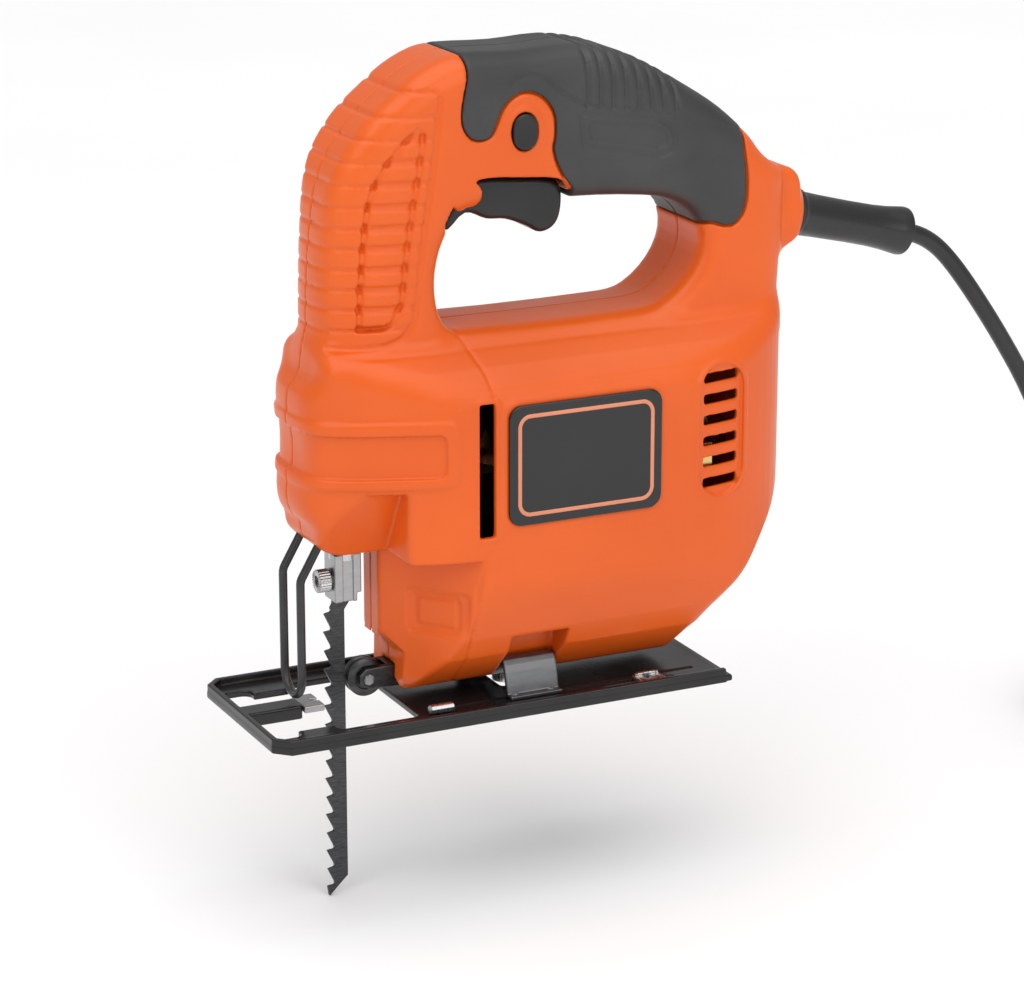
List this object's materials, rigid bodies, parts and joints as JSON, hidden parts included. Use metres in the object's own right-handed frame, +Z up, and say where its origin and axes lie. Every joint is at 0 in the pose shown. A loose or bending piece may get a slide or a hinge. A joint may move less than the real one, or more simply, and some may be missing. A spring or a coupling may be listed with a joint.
{
  "type": "corded jigsaw",
  "caption": "Compact corded jigsaw with a closed D-handle, side-tilting shoe, bent wire finger guard, scotch yoke drive and a coiled mains cord with plug.",
  "frame": {"origin": "on the sole plane of the shoe, on its centreline, 40 mm behind the stroke axis of the blade", "axes": "+X forward in the cutting direction, +Y to the tool's left, +Z up along the stroke axis"},
  "size_m": [0.362, 0.0903, 0.2379],
  "materials": {
    "housing": "fine spark texture",
    "grip": "soft matt overmould",
    "black_plastic": "moulded",
    "badge": "printed plate without words",
    "cord": "smooth jacket",
    "shoe_paint": "black enamel on stamped steel",
    "zinc": "zinc plated",
    "steel": "ground steel",
    "blade_steel": "rolled blade steel",
    "bronze": "sintered bronze",
    "brass": "bright",
    "alloy": "die cast",
    "laminations": "stacked sheet",
    "copper": "enamelled copper wire",
    "carbon": "pressed carbon"
  },
  "bodies": {
    "body": {"left_housing": "housing", "right_housing": "housing", "left_grip": "grip", "right_grip": "grip", "left_badge": "badge", "right_badge": "badge", "housing_screws": "zinc", "trigger_pin": "steel", "trigger_switch": "black_plastic", "noise_capacitor": "brass", "strain_relief": "cord", "power_cord": "cord", "cord_coil": "cord", "plug_lead": "cord", "cord_tie": "black_plastic", "plug_body": "black_plastic", "plug_pins": "brass", "cord_clamp": "black_plastic", "cord_clamp_screws": "zinc", "finger_guard": "zinc", "roller_fork": "zinc", "roller_pin": "steel", "bevel_screws": "zinc", "upper_bush": "bronze", "lower_bush": "bronze", "gear_spindle": "steel", "gear_plate": "alloy", "front_bearing": "steel", "rear_bearing": "steel", "fan_baffle": "black_plastic", "field_core": "laminations", "field_coils": "copper", "brush_holders": "brass", "carbon_brushes": "carbon", "trigger_spring": "steel", "lock_spring": "steel"},
    "shoe_group": {"shoe": "shoe_paint", "shoe_saddle": "zinc", "saddle_rivets": "steel", "shoe_insert": "zinc", "guide_clip": "zinc", "guide_pin": "steel"},
    "plunger": {"plunger_rod": "steel", "scotch_yoke": "zinc", "blade_clamp": "zinc", "saw_blade": "blade_steel"},
    "clamp_screw": {"clamp_screw": "zinc"},
    "roller": {"support_roller": "steel"},
    "gear": {"gear_wheel": "steel", "crank_pin": "steel", "crank_roller": "bronze"},
    "armature": {"armature_shaft": "steel", "armature_core": "laminations", "armature_windings": "copper", "commutator": "copper", "fan": "black_plastic"},
    "trigger": {"trigger": "black_plastic"},
    "lock_button": {"lock_button": "black_plastic"}
  },
  "joints": [
    {"name": "bevel_tilt", "type": "hinge", "parent": "body", "child": "shoe_group", "pos_m": [0, 0, 0.018], "axis": [1, 0, 0], "range_deg": [-45, 45]},
    {"name": "plunger_slide", "type": "slide", "parent": "body", "child": "plunger", "axis": [0, 0, 1], "range_m": [0, 0.016]},
    {"name": "clamp_screw_turn", "type": "hinge", "parent": "plunger", "child": "clamp_screw", "pos_m": [0.046, 0, 0.038], "axis": [1, 0, 0], "continuous": true},
    {"name": "armature_spin", "type": "hinge", "parent": "body", "child": "armature", "pos_m": [0, 0, 0.066], "axis": [1, 0, 0], "continuous": true},
    {"name": "gear_spin", "type": "hinge", "parent": "body", "child": "gear", "pos_m": [0.025, 0, 0.08712], "axis": [1, 0, 0], "continuous": true},
    {"name": "trigger_pull", "type": "hinge", "parent": "body", "child": "trigger", "pos_m": [0.009, 0, 0.1446], "axis": [0, 1, 0], "range_deg": [0, 8], "stiffness_Nm_per_rad": 2, "springref_deg": -5.73, "deforming": ["trigger_spring"]},
    {"name": "lock_push", "type": "slide", "parent": "body", "child": "lock_button", "axis": [0, -1, 0], "range_m": [0, 0.003], "stiffness_N_per_m": 300, "springref_m": -0.002, "deforming": ["lock_spring"]},
    {"name": "roller_spin", "type": "hinge", "parent": "body", "child": "roller", "pos_m": [0.0343, 0, 0.0086], "axis": [0, 1, 0], "continuous": true}
  ],
  "couplings": [
    {"joint": "gear_spin", "follows": "armature_spin", "ratio": -0.16667}
  ]
}
